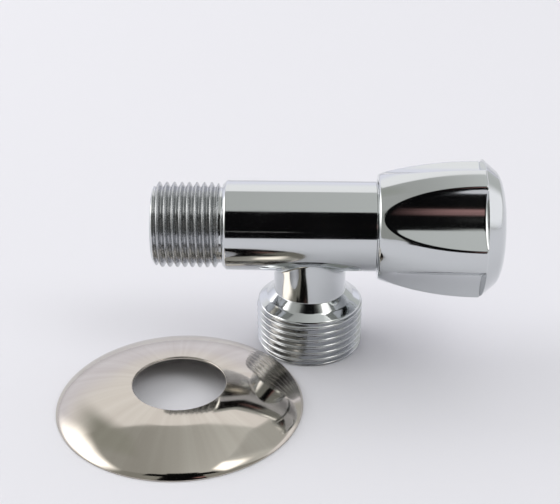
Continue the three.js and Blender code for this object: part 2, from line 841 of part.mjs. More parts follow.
// The origin is under the middle of everything, on the surface that it stands on
const kit = new THREE.Group();
kit.add(valve, escutcheon());
kit.updateMatrixWorld(true);
const bounds = new THREE.Box3().setFromObject(kit, true);
const middle = bounds.getCenter(new THREE.Vector3());
kit.position.set(-middle.x, -middle.y, -bounds.min.z);

export default kit;
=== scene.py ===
import json
import math
import bpy
import bmesh
import numpy as np
from mathutils import Matrix, Vector


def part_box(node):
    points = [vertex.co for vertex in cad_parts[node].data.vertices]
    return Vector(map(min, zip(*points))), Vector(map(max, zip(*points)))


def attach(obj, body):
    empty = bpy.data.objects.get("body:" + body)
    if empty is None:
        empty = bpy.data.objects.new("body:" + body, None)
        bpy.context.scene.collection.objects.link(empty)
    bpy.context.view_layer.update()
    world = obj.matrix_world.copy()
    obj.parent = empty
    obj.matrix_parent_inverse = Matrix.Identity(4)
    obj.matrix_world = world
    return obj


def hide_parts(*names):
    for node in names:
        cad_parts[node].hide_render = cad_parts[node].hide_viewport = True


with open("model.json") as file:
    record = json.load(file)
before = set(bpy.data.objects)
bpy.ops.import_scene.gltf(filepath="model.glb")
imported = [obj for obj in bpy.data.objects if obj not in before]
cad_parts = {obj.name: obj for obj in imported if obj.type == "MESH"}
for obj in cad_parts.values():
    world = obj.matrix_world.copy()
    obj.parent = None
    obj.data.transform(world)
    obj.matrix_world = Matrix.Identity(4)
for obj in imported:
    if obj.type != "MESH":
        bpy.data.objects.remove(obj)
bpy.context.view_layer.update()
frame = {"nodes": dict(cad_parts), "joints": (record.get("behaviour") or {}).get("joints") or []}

print("frame loaded")

# Lengths are in millimetres, from the point where the barrel's axis meets the outlet's; X runs along the
# barrel
mm = 0.001


def boxOf(node):
    return np.array([list(corner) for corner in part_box(node)]) / mm


hinge = next(joint for joint in frame["joints"] if joint["type"] == "hinge")
axisY, axisZ = np.array(hinge["pos_m"])[1:] / mm
valveBox, handleBox, capBox, flangeBox = map(boxOf, ("valve_body", "handle", "index_cap", "escutcheon"))
outletFromMiddle = 9.875  # the outlet's axis is this far towards the handle from the body's middle
outletX = valveBox[:, 0].mean() + outletFromMiddle
valveOrigin = np.array([outletX, axisY, axisZ])
flangeOrigin = np.array([*flangeBox.mean(axis=0)[:2], 0.0])
inletX, mouthX = valveBox[:, 0] - outletX
handleX, frontX = handleBox[:, 0] - outletX


# Rounds the corners of an outline: a corner (along, radius, round) becomes an arc that touches both its
# sides, and a point a little past each end of the arc keeps the flat sides flat under smooth shading
def roundCorners(corners, steps=5, support=0.12):
    points = [np.array(corner[:2], float) for corner in corners]
    outline = []
    for i, corner in enumerate(corners):
        if len(corner) < 3:
            outline.append(points[i])
            continue
        before, after = points[i - 1] - points[i], points[(i + 1) % len(points)] - points[i]
        roomBefore, roomAfter = np.linalg.norm(before), np.linalg.norm(after)
        before, after = before / roomBefore, after / roomAfter
        half = math.acos(np.clip(before @ after, -1, 1)) / 2
        reach = corner[2] / math.tan(half)
        middle = points[i] + (before + after) / np.linalg.norm(before + after) * corner[2] / math.sin(half)
        start, end = points[i] + before * reach - middle, points[i] + after * reach - middle
        sweep = math.pi - 2 * half
        if reach + support < roomBefore / 2:
            outline.append(points[i] + before * (reach + support))
        t = np.linspace(0, 1, steps)[:, None]
        outline.extend(middle + (start * np.sin((1 - t) * sweep) + end * np.sin(t * sweep)) / math.sin(sweep))
        if reach + support < roomAfter / 2:
            outline.append(points[i] + after * (reach + support))
    return np.array(outline)


# Puts extra points on the straight stretch of an outline at one radius, and says where the first of them is
def withStations(outline, places, radius):
    starts, ends = outline[:-1], outline[1:]
    level = (np.abs(starts[:, 1] - radius) < 1e-6) & (np.abs(ends[:, 1] - radius) < 1e-6)
    low, high = np.minimum(starts[:, 0], ends[:, 0]), np.maximum(starts[:, 0], ends[:, 0])
    i = int(np.flatnonzero(level & (low < places.min()) & (high > places.max()))[0])
    ordered = np.sort(places) if outline[i, 0] < outline[i + 1, 0] else np.sort(places)[::-1]
    added = np.column_stack([ordered, np.full(len(ordered), radius)])
    return np.vstack([outline[:i + 1], added, outline[i + 1:]]), i + 1


# Four-cornered faces between the neighbouring rows and columns of a grid of vertex numbers; the columns close
def gridFaces(index, closeRows=False):
    here = index if closeRows else index[:-1]
    below = np.roll(index, -1, axis=0) if closeRows else index[1:]
    return np.stack([here, np.roll(here, -1, axis=1), np.roll(below, -1, axis=1), below], axis=-1)


# Makes a piece from points and lists of faces, each list an array with one row of vertex numbers for each
# face
def newPiece(name, points, faceLists, body, materials, materialOf=None, origin=valveOrigin):
    corners = np.concatenate([faces.reshape(-1) for faces in faceLists])
    used, corners = np.unique(corners, return_inverse=True)
    counts = np.concatenate([np.full(len(faces), faces.shape[1]) for faces in faceLists])
    mesh = bpy.data.meshes.new(name)
    mesh.vertices.add(len(used))
    mesh.vertices.foreach_set("co", ((points[used] + origin) * mm).astype(np.float32).reshape(-1))
    mesh.loops.add(len(corners))
    mesh.loops.foreach_set("vertex_index", corners.astype(np.int32))
    mesh.polygons.add(len(counts))
    mesh.polygons.foreach_set("loop_start", (np.cumsum(counts) - counts).astype(np.int32))
    mesh.update(calc_edges=True)
    mesh.validate()
    work = bmesh.new()
    work.from_mesh(mesh)
    bmesh.ops.recalc_face_normals(work, faces=work.faces)
    work.to_mesh(mesh)
    work.free()
    mesh.polygons.foreach_set("use_smooth", np.ones(len(mesh.polygons), bool))
    for material in materials:
        mesh.materials.append(material)
    if materialOf is not None:
        mesh.polygons.foreach_set("material_index", materialOf.astype(np.int32))
    mesh.update()
    piece = bpy.data.objects.new(name, mesh)
    bpy.context.scene.collection.objects.link(piece)
    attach(piece, body)
    print(name, len(mesh.polygons), "faces")
    return piece


# Colours and nodes


def linearColour(code):
    channels = np.array([int(code[i:i + 2], 16) for i in (1, 3, 5)]) / 255
    linear = np.where(channels <= 0.04045, channels / 12.92, ((channels + 0.055) / 1.055) ** 2.4)
    return (*linear.tolist(), 1.0)


# Adds a node with its properties, the numbers of its unlinked sockets and the sources of its linked ones
def addNode(tree, kind, settings={}, values={}, links={}):
    node = tree.nodes.new("ShaderNode" + kind)
    for name, value in settings.items():
        setattr(node, name, value)
    for socket, value in values.items():
        node.inputs[socket].default_value = value
    for socket, source in links.items():
        tree.links.new(source, node.inputs[socket])
    return node


# A new material with its main shader, and the place of each point on the object as the source of its patterns
def startMaterial(name, values):
    material = bpy.data.materials.new(name)
    material.use_nodes = True
    tree = material.node_tree
    shader = tree.nodes["Principled BSDF"]
    for socket, value in values.items():
        shader.inputs[socket].default_value = value
    place = addNode(tree, "TexCoord").outputs["Object"]
    return material, tree, shader, place


# A pattern of clouds of a size in millimetres
def noise(tree, place, size, detail):
    return addNode(tree, "TexNoise", values={"Scale": 1 / (size * mm), "Detail": detail},
                   links={"Vector": place})


# Bands across an axis, one in each spacing; the node counts twenty radians of phase to a unit of its scale
def bands(tree, place, axis, spacing, distortion, detail, detailScale=1.0):
    return addNode(tree, "TexWave", settings={"wave_type": "BANDS", "bands_direction": axis},
                   values={"Scale": 2 * math.pi / (20 * spacing * mm), "Distortion": distortion,
                           "Detail": detail, "Detail Scale": detailScale}, links={"Vector": place})


# A colour between two by a share; each of the two is a colour's code or the output of a node
def mixed(tree, share, first, second):
    mix = addNode(tree, "Mix", settings={"data_type": "RGBA"}, links={0: share})
    for socket, colour in ((6, first), (7, second)):
        if isinstance(colour, str):
            mix.inputs[socket].default_value = linearColour(colour)
        else:
            tree.links.new(colour, mix.inputs[socket])
    return mix.outputs[2]


# Relief from the output of a pattern, as deep as given in millimetres
def setRelief(tree, shader, height, depth):
    bump = addNode(tree, "Bump", values={"Distance": depth * mm}, links={"Height": height})
    tree.links.new(bump.outputs[0], shader.inputs["Normal"])


# Roughness that goes from clear to dull while a pattern goes from low to high
def setRoughness(tree, shader, pattern, low, high, clear, dull):
    rough = addNode(tree, "MapRange", links={"Value": pattern.outputs[0]},
                    values={"From Min": low, "From Max": high, "To Min": clear, "To Max": dull})
    tree.links.new(rough.outputs[0], shader.inputs["Roughness"])


# Base colour between two by a share
def setColour(tree, shader, share, first, second):
    tree.links.new(mixed(tree, share.outputs[0], first, second), shader.inputs["Base Color"])


# Chrome plate on hand-polished brass: a hard bluish mirror. Buffing leaves waves some millimetres long and a
# few thousandths deep, which bend the edges of reflections, and handling leaves faint duller clouds
def chromePlate():
    look = {"waveLength": 7, "waveDepth": 0.0035, "cloudSize": 12, "clear": 0.07, "dull": 0.12}
    values = {"Base Color": linearColour("#cfd2d3"), "Metallic": 1.0}
    material, tree, shader, place = startMaterial("chromePlate", values)
    waves = noise(tree, place, look["waveLength"], 1.0)
    clouds = noise(tree, place, look["cloudSize"], 4.0)
    setRoughness(tree, shader, clouds, 0.4, 0.75, look["clear"], look["dull"])
    setRelief(tree, shader, waves.outputs[0], look["waveDepth"])
    return material


# Chrome over a cut thread: the plate follows the marks of the threading tool, so it is softer than the
# polished faces and streaked along the turns. The marks are drawn wider apart than the real ones
def chromeOverThread(name, axis, colour, clear, dull, markDepth):
    look = {"markSpacing": 0.3, "grainSize": 0.8}
    values = {"Base Color": linearColour(colour), "Metallic": 1.0}
    material, tree, shader, place = startMaterial(name, values)
    marks = bands(tree, place, axis, look["markSpacing"], 1.5, 2.0, detailScale=0.6)
    grain = noise(tree, place, look["grainSize"], 3.0)
    setRoughness(tree, shader, grain, 0.35, 0.7, clear, dull)
    setRelief(tree, shader, marks.outputs[1], markDepth)
    return material


# Stainless steel sheet, pressed and mirror-polished: a warmer and darker mirror than chrome, with long soft
# waves from the press, a veil of fine polishing haze and faint streaks outwards from the hole, from the buff
def polishedStainless():
    look = {"waveLength": 14, "waveDepth": 0.008, "hazeSize": 6, "clear": 0.05, "dull": 0.12,
            "streaksAround": 4.5, "darkStreak": "#bdb6ad", "paleStreak": "#c6c0b7"}
    material, tree, shader, place = startMaterial("polishedStainless", {"Metallic": 1.0})
    centred = addNode(tree, "Mapping", values={"Location": (-flangeOrigin * mm).tolist()},
                      links={"Vector": place})
    flat = addNode(tree, "VectorMath", settings={"operation": "MULTIPLY"}, values={1: (1, 1, 0)},
                   links={0: centred.outputs[0]})
    outward = addNode(tree, "VectorMath", settings={"operation": "NORMALIZE"}, links={0: flat.outputs[0]})
    streaks = addNode(tree, "TexNoise", links={"Vector": outward.outputs[0]},
                      values={"Scale": look["streaksAround"], "Detail": 3.0, "Roughness": 0.6})
    tone = addNode(tree, "MapRange", values={"From Min": 0.35, "From Max": 0.65},
                   links={"Value": streaks.outputs[0]})
    waves = noise(tree, place, look["waveLength"], 1.0)
    haze = noise(tree, place, look["hazeSize"], 5.0)
    setColour(tree, shader, tone, look["darkStreak"], look["paleStreak"])
    setRoughness(tree, shader, haze, 0.3, 0.8, look["clear"], look["dull"])
    setRelief(tree, shader, waves.outputs[0], look["waveDepth"])
    return material


# A turned metal piece: rings from the lathe tool run round the barrel's axis, and the colour is a bit uneven
def turnedMetal(name, low, high, clear, dull):
    look = {"ringSpacing": 0.25, "ringDepth": 0.004, "toneSize": 2.5}
    material, tree, shader, place = startMaterial(name, {"Metallic": 1.0})
    rings = bands(tree, place, "X", look["ringSpacing"], 0.6, 1.0)
    tone = noise(tree, place, look["toneSize"], 4.0)
    setColour(tree, shader, tone, low, high)
    setRoughness(tree, shader, tone, 0.3, 0.7, clear, dull)
    setRelief(tree, shader, rings.outputs[1], look["ringDepth"])
    return material


# A pressed or moulded piece that isn't metal: fine grain in its colour, its gloss and its surface
def mouldedPiece(name, low, high, clear, dull, grainSize, grainDepth, values):
    material, tree, shader, place = startMaterial(name, values)
    grain = noise(tree, place, grainSize, 5.0)
    setColour(tree, shader, grain, low, high)
    setRoughness(tree, shader, grain, 0.3, 0.7, clear, dull)
    setRelief(tree, shader, grain.outputs[0], grainDepth)
    return material


chrome = chromePlate()
# The inlet's thread is coarser and duller than the outlet's
inletThreadChrome = chromeOverThread("chromeOverInletThread", "X", "#b6b8ba", 0.17, 0.3, 0.0012)
outletThreadChrome = chromeOverThread("chromeOverOutletThread", "Z", "#c6c8ca", 0.1, 0.2, 0.001)
stainless = polishedStainless()
# Turned free-cutting brass: warm yellow, softly shining
brass = turnedMetal("turnedBrass", "#b98f45", "#d2ae66", 0.24, 0.4)
# Zinc-plated steel of the screw, clip and spring washer: grey and half matt
zincSteel = turnedMetal("zincPlatedSteel", "#a3a6a8", "#c2c5c7", 0.26, 0.42)
# Sintered and lapped alumina: a dense ivory white with a soft polish
alumina = mouldedPiece("lappedAlumina", "#ece8de", "#f6f4ee", 0.16, 0.28, 0.12, 0.0008, {"IOR": 1.76})
# Moulded nitrile rubber: near black with a dull skin
rubber = mouldedPiece("nitrileRubber", "#171718", "#242425", 0.55, 0.8, 0.25, 0.006, {"IOR": 1.52})
# Moulded acetal: milky white, waxy
acetal = mouldedPiece("mouldedAcetal", "#dededa", "#ecece8", 0.35, 0.5, 0.4, 0.003, {"IOR": 1.48})
print("materials made")

# Valve body

body = {
    "columns": 180, "threadStep": 0.1, "outletStep": 0.1, "smoothRows": 4, "pitch": 1.814,
    "threadDepth": 1.16, "crest": 10.35, "threadLength": 15.9, "startRadius": 9.1, "startLength": 1.1,
    "startLead": 0.13, "grooveRadius": 9.15, "grooveLength": 1.0, "boreRadius": 6.5, "barrelRadius": 10.89,
    "barrelChamfer": 0.9, "reliefGap": 0.4, "reliefDepth": 0.5, "chamberRadius": 9.0,
    "seatX": -11.0, "seatRadius": 5.0, "seatThickness": 2.5,
    "holeReach": 11.5, "holeCells": 36, "holeColumns": 33, "patchRows": 7,
    "neckRadius": 8.8, "filletRadius": 1.2, "filletRows": 8,
    # The cone under the neck: radius and height above the foot, and the rounding of its corners
    "shoulder": [(8.8, 16.4), (8.8, 15.5, 0.35), (10.65, 13.6, 2.5), (12.45, 12.45, 0.3), (12.72, 12.15)],
    "outletCrest": 13.05, "outletTop": 12.1, "runOutStart": 11.6, "outletStart": 12.15,
    "outletStartLength": 0.8, "outletBore": 6.4,
}


# Height of a pipe thread above its root, from 0 to 1, by the place within one turn: crest and root are arcs
# of 0.137 of the pitch, joined by straight flanks at 27.5 degrees to the radius, the crest's middle at 0.58
def threadRise(turn):
    away = np.abs((turn - 0.08) % 1 - 0.5)
    arc, steep, depth = 0.1373, math.radians(27.5), 0.6403
    meets, fall = arc * math.cos(steep), arc * (1 - math.sin(steep))
    crest = depth - arc + np.sqrt(np.clip(arc ** 2 - away ** 2, 0, None))
    root = arc - np.sqrt(np.clip(arc ** 2 - (0.5 - away) ** 2, 0, None))
    flank = depth - fall - (away - meets) / math.tan(steep)
    return np.where(away < meets, crest, np.where(away > 0.5 - meets, root, flank)) / depth


# Points round the barrel: angles are from straight down towards +Y, so y is the radius times the sine of the
# angle, and z is minus the radius times its cosine
def aroundBarrel(x, radius, angle):
    return np.stack(np.broadcast_arrays(x, radius * np.sin(angle), -radius * np.cos(angle)), axis=-1)


def eased(value, start, end):
    t = np.clip((value - start) / (end - start), 0, 1)
    return t * t * (3 - 2 * t)


def makeBody():
    b = body
    columns = b["columns"]
    angle = np.radians(np.arange(columns) * 360 / columns - 180)
    threadEnd = inletX + b["threadLength"]
    barrelLeft = threadEnd + b["grooveLength"]
    barrelR, chamberR = b["barrelRadius"], b["chamberRadius"]
    seatBack = b["seatX"] - b["seatThickness"]
    # The barrel's end is turned down a little, which leaves a thin dark gap in front of the handle's lip
    reliefX, reliefR = handleX - b["reliefGap"], barrelR - b["reliefDepth"]
    slope = (b["crest"] - b["startRadius"]) / b["startLength"]
    lead, chamfer = b["startLead"], b["barrelChamfer"]
    outline = roundCorners([
        (barrelLeft - 0.45, b["grooveRadius"]), (barrelLeft, b["grooveRadius"], 0.12),
        (barrelLeft, barrelR - chamfer, 0.12), (barrelLeft + chamfer, barrelR, 0.5),
        (reliefX, barrelR, 0.08), (reliefX, reliefR, 0.08), (mouthX - 0.3, reliefR, 0.2),
        (mouthX, reliefR - 0.3, 0.1), (mouthX, chamberR, 0.12),
        (b["seatX"], chamberR, 0.2), (b["seatX"], b["seatRadius"], 0.15),
        (seatBack, b["seatRadius"], 0.15), (seatBack, b["boreRadius"], 0.3), (inletX, b["boreRadius"], 0.3),
        (inletX, b["startRadius"], 0.1), (inletX + lead, b["startRadius"] + lead * slope),
    ])
    outer = np.linspace(-b["holeReach"], b["holeReach"], b["holeCells"] + 1)
    outline, outerRow = withStations(outline, outer, barrelR)
    outline, innerRow = withStations(outline, outer * chamberR / barrelR, chamberR)

    # The inlet's thread: its radius follows the helix, under the cone of the start, and ends in the groove
    threadX = np.arange(inletX + 2 * lead, barrelLeft - 0.5, b["threadStep"])
    x, turned = np.meshgrid(threadX, angle, indexing="ij")
    turn = (x - inletX) / b["pitch"] - (np.degrees(turned) - 90) / 360
    root = b["crest"] - b["threadDepth"]
    thread = root + b["threadDepth"] * threadRise(turn)
    thread = np.minimum(thread, b["startRadius"] + (x - inletX) * slope)
    end = eased(x, threadEnd - 0.35, threadEnd + 0.25)
    thread = thread * (1 - end) + b["grooveRadius"] * end
    plain = np.broadcast_arrays(outline[:, :1], outline[:, 1:], angle[None])
    grid = aroundBarrel(*map(np.vstack, zip(plain, (x, thread, turned))))
    rows = len(grid)
    index = np.arange(rows * columns).reshape(rows, columns)
    faces = gridFaces(index, closeRows=True)

    # For the outlet's branch, the barrel and the chamber leave out a rectangle of faces under the axis
    holeColumn = columns // 2 - b["holeColumns"]
    cells, around = b["holeCells"], 2 * b["holeColumns"]
    kept = np.ones((rows, columns), bool)
    for row in (outerRow, innerRow):
        kept[row:row + cells, holeColumn:holeColumn + around] = False
    isThread = np.zeros((rows, columns), bool)
    isThread[len(outline) + b["smoothRows"]:] = True

    # The vertices round such a rectangle, in the order of growing angle about the outlet's axis
    def rectangle(row, leftToRight):
        part = index[row:row + cells + 1, holeColumn:holeColumn + around + 1]
        part = part if leftToRight else part[::-1]
        return np.concatenate([part[:-1, 0], part[-1, :-1], part[:0:-1, -1], part[0, :0:-1]])

    outerEdge, innerEdge = rectangle(outerRow, True), rectangle(innerRow, False)
    points = grid.reshape(-1, 3)
    edge = points[outerEdge]
    about = np.unwrap(np.arctan2(edge[:, 1], edge[:, 0]))
    cos, sin = np.cos(about), np.sin(about)

    # Rows on a cylinder round the barrel's axis, from a rectangle to a curve given by its x and y
    def onCylinder(edgePoints, curveX, curveY, radius, shares):
        edgeAngle = np.arctan2(edgePoints[:, 1], -edgePoints[:, 2])
        curveAngle = np.arcsin(curveY / radius)
        t = shares[:, None]
        x, turned = edgePoints[:, 0] * (1 - t) + curveX * t, edgeAngle * (1 - t) + curveAngle * t
        return aroundBarrel(x, radius, turned)

    # The fillet under the barrel is the path of a ball that rolls round the corner of neck and barrel
    fillet = b["filletRadius"]
    ballR, ballDrop = b["neckRadius"] + fillet, barrelR + fillet
    ballZ = -np.sqrt(ballDrop ** 2 - (ballR * sin) ** 2)
    ball = np.stack([ballR * cos, ballR * sin, ballZ], axis=-1)
    touch = ball * np.array([1, barrelR / ballDrop, barrelR / ballDrop])
    foot = np.stack([b["neckRadius"] * cos, b["neckRadius"] * sin, ballZ], axis=-1)
    shares = np.linspace(0, 1, b["patchRows"] + 1)[1:]
    patch = onCylinder(edge, touch[:, 0], touch[:, 1], barrelR, shares)
    start, stop = touch - ball, foot - ball
    sweep = np.arccos(np.clip((start * stop).sum(axis=1) / fillet ** 2, -1, 1))[:, None]
    t = np.linspace(0, 1, b["filletRows"] + 1)[1:, None, None]
    filletRows = ball + (start * np.sin((1 - t) * sweep) + stop * np.sin(t * sweep)) / np.sin(sweep)

    # Neck and shoulder
    base = -axisZ  # the table, where the outlet's foot stands
    shoulder = roundCorners([(radius, base + z, *bend) for radius, z, *bend in b["shoulder"]], steps=7)
    t = np.linspace(0, 1, 6)[1:-1, None]
    neckZ = ballZ * (1 - t) + shoulder[0, 1] * t
    neckRows = np.stack(np.broadcast_arrays(b["neckRadius"] * cos, b["neckRadius"] * sin, neckZ), axis=-1)

    def aroundOutlet(outlineRows):
        radius, z = outlineRows[:, :1], outlineRows[:, 1:]
        return np.stack(np.broadcast_arrays(radius * cos, radius * sin, z), axis=-1)

    # The outlet's thread, which runs out under the shoulder, and its cone at the foot
    slope = (b["outletCrest"] - b["outletStart"]) / b["outletStartLength"]
    threadZ = np.arange(b["outletTop"], 0.2, -b["outletStep"])
    z, spun = np.meshgrid(threadZ, about, indexing="ij")
    turn = z / b["pitch"] - (np.degrees(spun) - 90) / 360
    thread = b["outletCrest"] - b["threadDepth"] * (1 - threadRise(turn))
    shoulderFoot, shoulderFootZ = b["shoulder"][-1]
    runOut = eased(z, b["runOutStart"], shoulderFootZ)
    thread = thread * (1 - runOut) + shoulderFoot * runOut
    thread = np.minimum(thread, b["outletStart"] + z * slope)
    outletThread = np.stack([thread * np.cos(spun), thread * np.sin(spun), z + base], axis=-1)

    # Foot face and bore, up to the chamber
    foot = roundCorners([
        (b["outletStart"] + 0.1 * slope, base + 0.1), (b["outletStart"], base, 0.06),
        (b["outletBore"] + 0.4, base, 0.1), (b["outletBore"], base + 0.4, 0.1), (b["outletBore"], base + 2),
    ], steps=4)
    boreX, boreY = b["outletBore"] * cos, b["outletBore"] * sin
    boreTop = -np.sqrt(chamberR ** 2 - boreY ** 2)
    t = np.linspace(0, 1, 7)[1:, None]
    boreRows = np.stack(np.broadcast_arrays(boreX, boreY, foot[-1, 1] * (1 - t) + boreTop * t), axis=-1)
    innerPatch = onCylinder(points[innerEdge], boreX, boreY, chamberR, shares[::-1])[1:]

    branch = np.concatenate([patch, filletRows, neckRows, aroundOutlet(shoulder), outletThread,
                             aroundOutlet(foot), boreRows, innerPatch])
    branchIndex = len(points) + np.arange(branch.size // 3).reshape(branch.shape[:2])
    branchIndex = np.vstack([outerEdge, branchIndex, innerEdge])
    branchFaces = gridFaces(branchIndex)
    threadStart = 1 + len(patch) + len(filletRows) + len(neckRows) + len(shoulder)
    branchMaterial = np.zeros(branchFaces.shape[:2], int)
    branchMaterial[threadStart - 1:threadStart + len(outletThread)] = 2  # the outlet's thread

    allPoints = np.vstack([points, branch.reshape(-1, 3)])
    allFaces = np.vstack([faces[kept], branchFaces.reshape(-1, 4)])
    materialOf = np.concatenate([isThread[kept].astype(int), branchMaterial.reshape(-1)])
    piece = newPiece("valveBodyPlated", allPoints, [allFaces], "valve",
                     [chrome, inletThreadChrome, outletThreadChrome], materialOf)
    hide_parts("valve_body")


makeBody()

# Handle

grip = {
    "flutes": 5, "firstFlute": 145.5, "cutterRadius": 13.5, "floorRadius": 13.0,
    "rimRadius": 16.96, "leftRadius": 12.63, "lipBevel": 1.0, "endWall": 0.62,
    "frontLength": 4.65, "rimRound": 0.3, "frontRadius": 16.43, "coneLength": 2.9, "coneRadius": 13.95,
    "bendBack": 0.55, "bendRadius": 12.91, "frontFlat": 10.3, "tipRound": 0.07, "edgeRound": 0.3,
    "skirtBore": 11.34, "cavityEnd": 3.0, "bossRadius": 7.7, "recessRadius": 6.0,
    "webStart": 37.6, "webEnd": 39.6, "pocketStart": 30.1, "pocketRadius": 6.2, "screwHole": 2.15,
    "stations": 84, "inFlute": 28, "onLand": 18,
}
# Columns close to a flute's edge, as distances along the surface from the edge
edgeColumns = np.array([-1.1, -0.8, -0.56, -0.38, -0.24, -0.12, 0.0, 0.12, 0.24, 0.38, 0.56, 0.8, 1.1])


# Where two surfaces cross, the lower one wins, with an edge rounded over a width of about three times the
# blend
def softLower(a, b, blend):
    low, high = np.minimum(a, b), np.maximum(a, b)
    return low - blend * np.log1p(np.exp(-(high - low) / blend))


def makeHandle():
    g = grip
    rimX = frontX - g["frontLength"]
    length, rise = rimX - g["rimRound"] - handleX, g["rimRadius"] - g["leftRadius"]
    cutterAway = g["floorRadius"] + g["cutterRadius"]

    # The lands swell from the left end as a parabola that is level near the rim
    def landAt(x):
        return g["leftRadius"] + rise * (1 - (1 - (x - handleX) / length) ** 2)

    # Half the angle of a flute at its edges, from the triangle of both axes and the edge
    def halfFlute(radius):
        share = (cutterAway ** 2 + radius ** 2 - g["cutterRadius"] ** 2) / (2 * cutterAway * radius)
        return np.where(radius > g["floorRadius"], np.arccos(np.clip(share, -1, 1)), 0)

    # Left lip, then the stations along the lands, close together where the flutes begin, up to the flutes'
    # end
    tipX = handleX + g["lipBevel"]
    lip = roundCorners([(handleX + 0.8, g["skirtBore"]), (handleX, g["skirtBore"], 0.3),
                        (handleX, g["leftRadius"], 0.62), (tipX, landAt(tipX))], steps=8)
    stations = tipX + (rimX - g["endWall"] - tipX) * np.linspace(0, 1, g["stations"]) ** 1.5
    # The flute's end: the place before the rim, and how far it is filled up to the rim there
    wall = np.array([[-0.46, 0.006], [-0.38, 0.03], [-0.3, 0.09], [-0.24, 0.19], [-0.19, 0.34], [-0.15, 0.52],
                     [-0.12, 0.7], [-0.09, 0.85], [-0.06, 0.95], [-0.03, 0.99]])
    wallX = rimX + wall[:, 0]

    # The rim drops a little before the front, which is a cone and then a parabola down to the flat face
    cone = np.array([rimX + g["coneLength"], g["coneRadius"]])
    rimArc = roundCorners([(rimX - 1, landAt(rimX - 1)), (rimX - g["rimRound"], g["rimRadius"], 0.3),
                           (rimX, g["frontRadius"], 0.15), tuple(cone)], steps=6, support=0.05)
    rimLine = np.interp(wallX, rimArc[:, 0], rimArc[:, 1])
    rimArc = rimArc[rimArc[:, 0] > wallX[-1] + 0.01]
    t = np.linspace(0, 1, 14)[:, None]
    bend, flat = np.array([frontX - g["bendBack"], g["bendRadius"]]), np.array([frontX, g["frontFlat"]])
    dome = cone * (1 - t) ** 2 + 2 * bend * t * (1 - t) + flat * t ** 2
    front = np.vstack([rimArc[:-1], rimArc[-2:-1] * 0.5 + cone * 0.5, dome])
    cavityX = frontX - g["cavityEnd"]
    inside = [(frontX, g["recessRadius"], 0.35), (g["webEnd"], g["recessRadius"], 0.15),
              (g["webEnd"], g["screwHole"], 0.1), (g["webStart"], g["screwHole"], 0.1),
              (g["webStart"], g["pocketRadius"], 0.1), (g["pocketStart"], g["pocketRadius"], 0.1),
              (g["pocketStart"], g["bossRadius"], 0.2), (cavityX, g["bossRadius"], 0.3),
              (cavityX, g["skirtBore"], 0.3), (handleX + 1.2, g["skirtBore"])]
    hidden = roundCorners([tuple(flat), *inside], steps=3)[1:]

    along = np.concatenate([lip[:-1, 0], stations, wallX, front[:, 0], hidden[:, 0]])
    radius = np.concatenate([lip[:-1, 1], landAt(stations), rimLine, front[:, 1], hidden[:, 1]])
    first = len(lip) - 1
    fluteEnd = first + len(stations) + len(wallX)
    filled = np.ones(len(along))
    filled[first:first + len(stations)] = 0
    filled[first + len(stations):fluteEnd] = wall[:, 1]
    half = np.full(len(along), float(halfFlute(g["frontRadius"])))
    half[:fluteEnd] = halfFlute(np.where(np.arange(fluteEnd) < first, 0, radius[:fluteEnd]))
    half = np.maximum(half, math.radians(2.5))[:, None]

    # Columns of one flute and one land: even inside both, and crowded at the two edges
    pitch = 2 * math.pi / g["flutes"]
    band = np.minimum(edgeColumns[-1] / radius[:, None], 0.45 * np.minimum(half, pitch / 2 - half))
    near = band * edgeColumns / edgeColumns[-1]
    inFlute = (half - band) * np.linspace(-1, 1, g["inFlute"] + 2)[None, 1:-1]
    landRoom = pitch - 2 * half - 2 * band
    onLand = half + band + landRoom * np.linspace(0, 1, g["onLand"] + 2)[None, 1:-1]
    offset = np.hstack([-half - near[:, ::-1], inFlute, half + near, onLand])
    middles = math.radians(g["firstFlute"]) + pitch * np.arange(g["flutes"])
    angle = (middles[None, :, None] + offset[:, None, :]).reshape(len(along), -1)

    # The cutter's surface over the offset from a flute's middle, and the flute where the land rises above it
    sunk = np.sin(offset) * cutterAway / g["cutterRadius"]
    cutter = cutterAway * np.cos(offset) - g["cutterRadius"] * np.sqrt(np.clip(1 - sunk ** 2, 0, 1))
    cutter = np.where(np.abs(sunk) < 1, cutter, cutterAway)
    grown = np.clip((radius - g["floorRadius"]) / (g["rimRadius"] - g["floorRadius"]), 0, 1)[:, None]
    blend = g["tipRound"] + (g["edgeRound"] - g["tipRound"]) * grown
    fluted = softLower(np.broadcast_to(radius[:, None], cutter.shape), cutter, blend)
    outside = fluted * (1 - filled[:, None]) + radius[:, None] * filled[:, None]
    outside = np.tile(outside, (1, g["flutes"]))
    along = np.broadcast_to(along[:, None], angle.shape)
    points = np.stack([along, outside * np.cos(angle), outside * np.sin(angle)], axis=-1)
    index = np.arange(angle.size).reshape(angle.shape)
    faces = gridFaces(index, closeRows=True).reshape(-1, 4)
    piece = newPiece("handlePlated", points.reshape(-1, 3), [faces], "handle", [chrome])
    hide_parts("handle")


makeHandle()


# A surface of revolution about X or Z from an outline of (along, radius); an outline that starts and ends on
# the axis gets a pole at both ends, and any other closes on itself
def lathe(outline, columns, axis):
    poled = outline[0, 1] < 1e-6
    ring = outline[1:-1] if poled else outline
    angle = np.arange(columns) * 2 * math.pi / columns
    along, radius = ring[:, :1] + 0 * angle, ring[:, 1:]
    across = (radius * np.cos(angle), radius * np.sin(angle))
    points = np.stack([along, *across] if axis == "X" else [*across, along], axis=-1).reshape(-1, 3)
    index = np.arange(len(points)).reshape(len(ring), columns)
    faces = [gridFaces(index, closeRows=not poled).reshape(-1, 4)]
    if poled:
        ends = np.zeros((2, 3))
        ends[:, 0 if axis == "X" else 2] = outline[[0, -1], 0]
        for row, pole in ((index[0], len(points)), (index[-1], len(points) + 1)):
            faces.append(np.column_stack([row, np.roll(row, -1), np.full(columns, pole)]))
        points = np.vstack([points, ends])
    return points, faces


